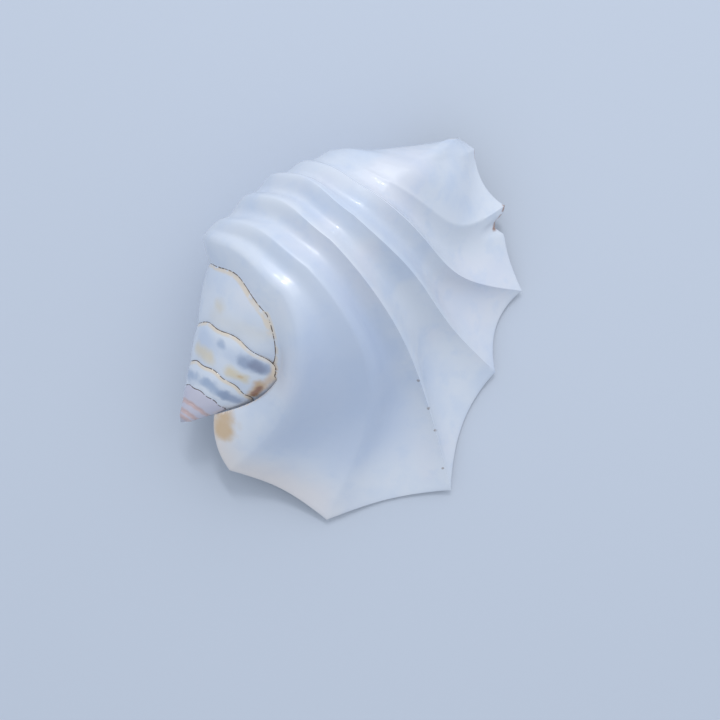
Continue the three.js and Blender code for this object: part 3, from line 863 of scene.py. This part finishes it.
@dataclass(frozen=True)
class PolishedShell:
    """White polished shell, with the marks that its growth and its seams left, and painted bluish shade in
    the hollow of its back.

    Each pair of numbers is a soft change: none at the first, all at the second.
    """
    white: Colour = (0.69, 0.74, 0.84)
    # a darker blue that paints shade into the hollow of the back
    painted_shade_blue: Colour = (0.50, 0.59, 0.78)
    beige: Colour = (0.76, 0.68, 0.64)
    cream: Colour = (0.77, 0.65, 0.51)
    seam_brown: Colour = (0.07, 0.035, 0.025)
    mauve: Colour = (0.53, 0.51, 0.63)
    tip_pink: Colour = (0.58, 0.40, 0.38)
    porcelain: Colour = (0.84, 0.74, 0.66)
    pit_brown: Colour = (0.20, 0.13, 0.10)
    clouds: tuple[Cloud, ...] = (
        Cloud((0.52, 0.62, 0.81), 0.045, 3, (0.42, 0.7), 0.5),
        Cloud((0.72, 0.72, 0.81), 0.028, 2, (0.5, 0.68), 0.4),
        Cloud((0.52, 0.62, 0.81), 0.16, 4, (0.5, 0.72), 0.28),
    )
    wobble_scale: float = 0.22      # how the strokes' edges waver, and by how many millimetres
    wobble: float = 3.2
    painted_shade_from: Pair = (0.5, 1.3)    # painted bluish shade in the hollow of the back, in lines and in degrees
    painted_shade_to: Pair = (3.1, 2.4)
    painted_shade_over: Pair = (-20, 30)
    painted_shade_out: Pair = (115, 85)
    painted_shade_strength: float = 0.75
    edge_out: Pair = (98, 121)      # the warm edge of the lip, in degrees and in lines
    edge_to: Pair = (2.6, 1.2)
    edge_strength: float = 0.7
    pit_radius: float = 0.25
    pit_soft: float = 0.5
    pit_strength: float = 0.6
    tip_turns: Pair = (-2.1, -2.4)  # the mauve tip, in turns of the spire
    tip_strength: float = 0.85
    band_reach: Pair = (1.5, 0.4)   # its pink bands: millimetres from a seam, and where they run
    band_across: Pair = (0.6, 0.4)
    band_turns: Pair = (-3.2, -3.4)
    band_strength: float = 0.8
    lower_half: Pair = (0.3, 0.5)   # shares across a whorl
    border_reach: Pair = (1.9, 0.7)  # the cream border of a seam, in millimetres
    border_turns: Pair = (0.05, 0.3)    # it is wider at the main seam's right
    border_wider: float = 1.1
    border_noise: tuple[float, Pair] = (0.3, (0.2, 0.5))
    border_strength: float = 0.8
    upper_turns: Pair = (-2.4, -2.2)    # where every seam has its dark line
    last_line_turns: Pair = (-3.3, -3.1)    # and where only the lower one has it
    last_line_across: Pair = (0.4, 0.6)
    line_reach: Pair = (0.12, 0.0)
    line_varies: tuple[float, float] = (0.5, 0.3)   # noise scale, and millimetres
    line_dashes: tuple[float, Pair] = (0.9, (0.36, 0.45))
    line_strength: float = 0.95
    worn_noise: tuple[float, Pair] = (0.12, (0.35, 0.75))
    roughness: float = 0.3
    worn_roughness: float = 0.12
    coat: float = 0.8
    coat_roughness: float = 0.02
    growth_lines: float = 1.3       # noise steps for each degree of growth
    growth_drift: tuple[float, float] = (0.05, 3)   # noise scale and strength
    growth_over: Pair = (-40, 60)
    growth_height: float = 0.5
    grain_scale: float = 0.35
    grain_height: float = 0.35
    bump_strength: float = 0.22
    bump_distance: float = 0.0004   # metres

    def dress(self, piece: bpy.types.Object, shell: Shell) -> None:
        """Gives a piece this finish.

        Args:
            piece: the finished mesh with its marks.
            shell: says where the tip of the spire lies.
        """
        shader = Shader("polished_shell")
        shift = [-float(v) / MM for v in shell.place(np.zeros(3), inside_box=False)]
        metres = shader.node("ShaderNodeTexCoord", output="Object")
        scaled = shader.vector("SCALE", metres, scale=1 / MM)
        place = shader.vector("ADD", scaled, shift)
        noise = {"Vector": place, "Scale": self.wobble_scale, "Detail": 3.0}
        wobble = shader.node("ShaderNodeTexNoise", {}, noise, "Color")
        drift = shader.vector("SUBTRACT", wobble, (0.5, 0.5, 0.5))
        wavy = shader.vector("ADD", place, shader.vector("SCALE", drift, scale=self.wobble))
        spire = shader.mark(Mark.SPIRE)
        tint = self.ground(shader, place)
        tint = self.wing(shader, tint, wavy, 1 - spire)
        tint = self.spire(shader, tint, wavy, spire)
        tint = self.seams(shader, tint, place, spire)
        tint = shader.blend(tint, self.porcelain, shader.mark(Mark.INNER))
        shader.put(shader.surface.inputs["Base Color"], tint)
        self.gloss(shader, place)
        piece.data.materials.clear()
        piece.data.materials.append(shader.material)

    def ground(self, shader: Shader, place: Value) -> Value:
        """White shell with faint clouds of blue and rose."""
        tint = self.white
        for cloud in self.clouds:
            shows = shader.noise(place, cloud.scale, cloud.detail).ramp(*cloud.shows)
            tint = shader.blend(tint, cloud.colour, shows * cloud.strength)
        return tint

    def wing(self, shader: Shader, tint: Value, wavy: Value, here: Value) -> Value:
        """Painted bluish shade in the hollow of the back, the warm edge of the lip, its stain and brown
        edges, and its pits.
        """
        along, turned = shader.mark(Mark.ALONG), shader.mark(Mark.ROUND)
        # Painted shade: the hollow of the back is blended towards a darker blue.
        deep = along.ramp(*self.painted_shade_from) * along.ramp(*self.painted_shade_to)
        deep = deep * turned.ramp(*self.painted_shade_over) * turned.ramp(*self.painted_shade_out)
        tint = shader.blend(tint, self.painted_shade_blue, deep * here * self.painted_shade_strength)
        edge = turned.ramp(*self.edge_out) * along.ramp(*self.edge_to)
        tint = shader.blend(tint, self.beige, edge * self.edge_strength)
        for stroke in WING_STROKES:
            tint = self.stroke(shader, tint, wavy, stroke, here)
        place = shader.vector("MULTIPLY", wavy, (1, 1, 0))
        for pit in PITS:
            away = shader.vector("DISTANCE", place, (*pit, 0))
            dark = away.ramp(self.pit_radius + self.pit_soft, self.pit_radius) * here
            tint = shader.blend(tint, self.pit_brown, dark * self.pit_strength)
        return tint

    def spire(self, shader: Shader, tint: Value, wavy: Value, here: Value) -> Value:
        """Dark bluish and brown strokes on the spire's whorls, and its mauve tip with pink bands."""
        for stroke in SPIRE_STROKES:
            tint = self.stroke(shader, tint, wavy, stroke, here)
        turn, across = shader.mark(Mark.ALONG), shader.mark(Mark.ROUND)
        tip = turn.ramp(*self.tip_turns) * here
        tint = shader.blend(tint, self.mauve, tip * self.tip_strength)
        beyond = across.ramp(*self.band_across).math("MAXIMUM", turn.ramp(*self.band_turns))
        bands = shader.mark(Mark.SEAM).ramp(*self.band_reach) * beyond * tip
        return shader.blend(tint, self.tip_pink, bands * self.band_strength)

    def stroke(self, shader: Shader, tint: Value, place: Value, stroke: Stroke, here: Value) -> Value:
        """Paints one stroke where `here` is 1."""
        start, end = Vector(stroke.start), Vector(stroke.end)
        line = end - start
        away = shader.vector("SUBTRACT", place, stroke.start)
        share = shader.vector("DOT_PRODUCT", away, tuple(line / line.length_squared))
        share = share.math("MAXIMUM", 0.0).math("MINIMUM", 1.0)
        nearest = shader.vector("SCALE", tuple(line), scale=share)
        distance = shader.vector("LENGTH", shader.vector("SUBTRACT", away, nearest))
        mask = distance.ramp(stroke.radius + stroke.soft, stroke.radius - stroke.inner * stroke.soft)
        return shader.blend(tint, stroke.colour, mask * here * stroke.strength)

    def seams(self, shader: Shader, tint: Value, place: Value, spire: Value) -> Value:
        """Cream borders and thin dashed brown lines along the spire's seams."""
        seam, across = shader.mark(Mark.SEAM), shader.mark(Mark.ROUND)
        turn = shader.mark(Mark.ALONG)
        upper = turn.ramp(*self.upper_turns)
        wider = turn.ramp(*self.border_turns) * self.border_wider
        border = (seam - wider).ramp(*self.border_reach) * across.ramp(*self.lower_half) * spire * upper
        scale, shows = self.border_noise
        patchy = border * shader.noise(place, scale, 2).ramp(*shows)
        tint = shader.blend(tint, self.cream, patchy * self.border_strength)
        scale, reach = self.line_varies
        width = shader.noise(place, scale, 2) * reach
        scale, shows = self.line_dashes
        dash = shader.noise(place, scale, 1).ramp(*shows)
        last = across.ramp(*self.last_line_across) * turn.ramp(*self.last_line_turns)
        line = (seam - width).ramp(*self.line_reach) * dash * upper.math("MAXIMUM", last)
        return shader.blend(tint, self.seam_brown, line * self.line_strength)

    def gloss(self, shader: Shader, place: Value) -> None:
        """A polished skin over fine growth lines."""
        scale, shows = self.worn_noise
        worn = shader.noise(place, scale, 4).ramp(*shows)
        shader.put(shader.surface.inputs["Roughness"], worn * self.worn_roughness + self.roughness)
        shader.surface.inputs["Coat Weight"].default_value = self.coat
        shader.surface.inputs["Coat Roughness"].default_value = self.coat_roughness
        scale, strength = self.growth_drift
        turned = shader.mark(Mark.ROUND)
        grown = turned * self.growth_lines + shader.noise(place, scale, 2) * strength
        lines = shader.node("ShaderNodeTexNoise", {"noise_dimensions": "1D"}, {"W": grown, "Detail": 3.0})
        lines = lines * (1 - shader.mark(Mark.SPIRE)) * turned.ramp(*self.growth_over)
        grain = shader.noise(place, self.grain_scale, 3)
        height = lines * self.growth_height + grain * self.grain_height
        bump = {"Strength": self.bump_strength, "Distance": self.bump_distance, "Height": height}
        shader.put(shader.surface.inputs["Normal"], shader.node("ShaderNodeBump", {}, bump))


@dataclass(frozen=True)
class Lamp:
    """A soft light. Its place is to the right, up and towards the camera in the picture, in metres."""
    name: str
    place: Place
    size: tuple[float, float]
    power: float
    turn: float = 0.0


@dataclass(frozen=True)
class Studio:
    """The floor, the lights and the camera, in millimetres from the tip of the spire."""
    camera_place: Place = (34.2, 61.7, 420)
    camera_turn: float = 42
    lens: float = 52.5
    sensor: float = 36
    floor_size: float = 6           # metres
    floor_roughness: float = 0.7
    floor_specular: float = 0.2
    floor_colour: Colour = (0.545, 0.60, 0.705)
    sky: Colour = (0.86, 0.93, 1.0)
    sky_strength: float = 0.68
    lamps: tuple[Lamp, ...] = (
        Lamp("window", (0.30, 0.90, 1.3), (1.8, 1.8), 8.5),
        Lamp("long_pane", (-0.02, 0.60, 0.90), (0.008, 0.28), 1.0, 50),
        Lamp("lower_pane", (0.05, 0.50, 0.96), (0.008, 0.24), 0.8, 50),
        Lamp("cross_pane", (0.0, 0.55, 0.93), (0.006, 0.10), 0.35, -30),
    )

    def camera(self, shell: Shell) -> None:
        """Looks straight down on the shell, as the photograph does."""
        lens = bpy.data.cameras.new("camera")
        lens.lens = self.lens
        lens.sensor_width = self.sensor
        camera = bpy.data.objects.new("camera", lens)
        bpy.context.scene.collection.objects.link(camera)
        camera.location = shell.place(np.array(self.camera_place), inside_box=False)
        camera.rotation_euler = (0, 0, math.radians(self.camera_turn))
        bpy.context.scene.camera = camera

    def floor(self) -> None:
        """A plain pale floor."""
        bpy.ops.object.select_all(action="DESELECT")
        bpy.ops.mesh.primitive_plane_add(size=self.floor_size)
        floor = bpy.context.object
        floor.name = "floor"
        shader = Shader("pale_floor")
        shader.put(shader.surface.inputs["Base Color"], self.floor_colour)
        shader.surface.inputs["Roughness"].default_value = self.floor_roughness
        shader.surface.inputs["Specular IOR Level"].default_value = self.floor_specular
        floor.data.materials.append(shader.material)

    def light(self, lamp: Lamp) -> None:
        """Adds one soft light, which looks at the shell."""
        turn = math.radians(self.camera_turn)
        right, up = Vector((math.cos(turn), math.sin(turn), 0)), Vector((-math.sin(turn), math.cos(turn), 0))
        place = right * lamp.place[0] + up * lamp.place[1] + Vector((0, 0, lamp.place[2]))
        area = bpy.data.lights.new(lamp.name, "AREA")
        area.shape = "RECTANGLE"
        area.size, area.size_y = lamp.size
        area.energy = lamp.power
        light = bpy.data.objects.new(lamp.name, area)
        bpy.context.scene.collection.objects.link(light)
        light.location = place
        facing = (-place).to_track_quat("-Z", "Y")
        facing.rotate(Quaternion(place.normalized(), math.radians(lamp.turn)))
        light.rotation_euler = facing.to_euler()

    def sky_light(self) -> None:
        """A pale sky all round."""
        world = bpy.data.worlds.new("sky")
        bpy.context.scene.world = world
        world.use_nodes = True
        background = world.node_tree.nodes["Background"]
        background.inputs["Color"].default_value = (*self.sky, 1)
        background.inputs["Strength"].default_value = self.sky_strength
        bpy.context.scene.view_settings.view_transform = "Standard"


def main() -> None:
    """Builds the shell, dresses it and sets up the studio."""
    logging.basicConfig(level=logging.INFO, format="%(message)s")
    shell = Shell()
    studio = Studio()
    studio.camera(shell)
    studio.floor()
    studio.sky_light()
    for lamp in studio.lamps:
        studio.light(lamp)
    piece = shell.build()
    PolishedShell().dress(piece, shell)
    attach(piece, "root")
    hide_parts("shell")
    log.info("%s: %d corners, %d faces", piece.name, len(piece.data.vertices), len(piece.data.polygons))


if __name__ == "__main__":
    main()
